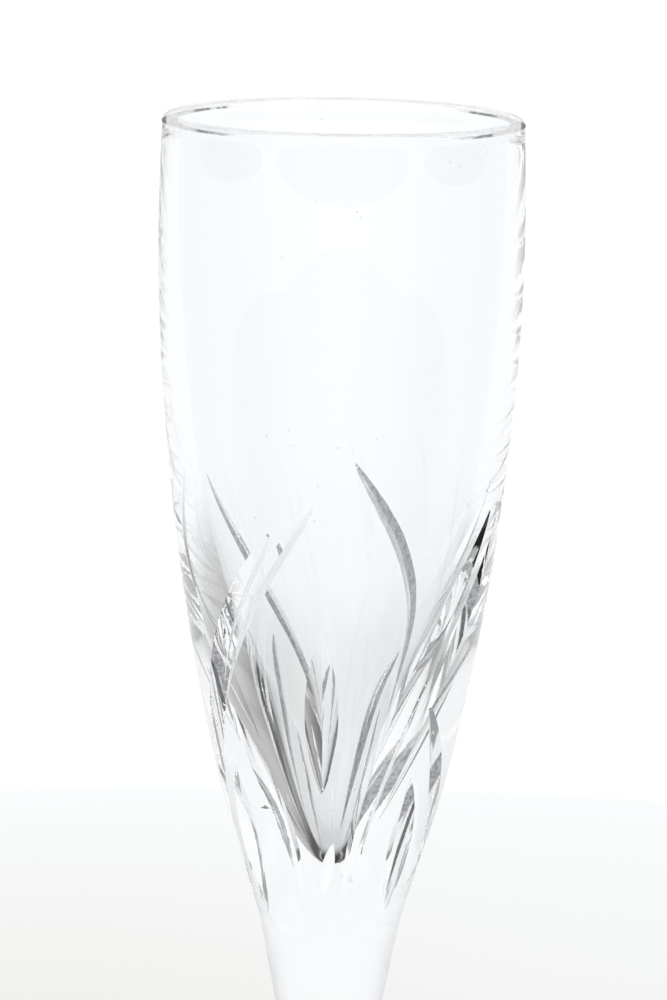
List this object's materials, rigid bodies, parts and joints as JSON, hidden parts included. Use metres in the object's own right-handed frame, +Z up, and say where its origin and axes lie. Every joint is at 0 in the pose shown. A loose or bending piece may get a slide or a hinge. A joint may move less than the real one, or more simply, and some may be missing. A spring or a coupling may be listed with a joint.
{
  "type": "champagne flute",
  "caption": "Tall clear crystal champagne flute with a thick tapering bowl, wheel-cut leaves and blades around its base, a drawn stem and a round foot.",
  "frame": {"origin": "centre of the foot's underside, on the plane of the table", "axes": "+Z up along the stem, -Y towards the front, +X to the right"},
  "size_m": [0.066, 0.066, 0.24],
  "materials": {
    "bowl_crystal": "clear polished lead crystal with finely ground cuts",
    "stem_crystal": "clear fire-polished lead crystal",
    "foot_crystal": "clear fire-polished lead crystal"
  },
  "bodies": {
    "root": {"bowl": "bowl_crystal", "stem": "stem_crystal", "foot": "foot_crystal"}
  },
  "joints": []
}
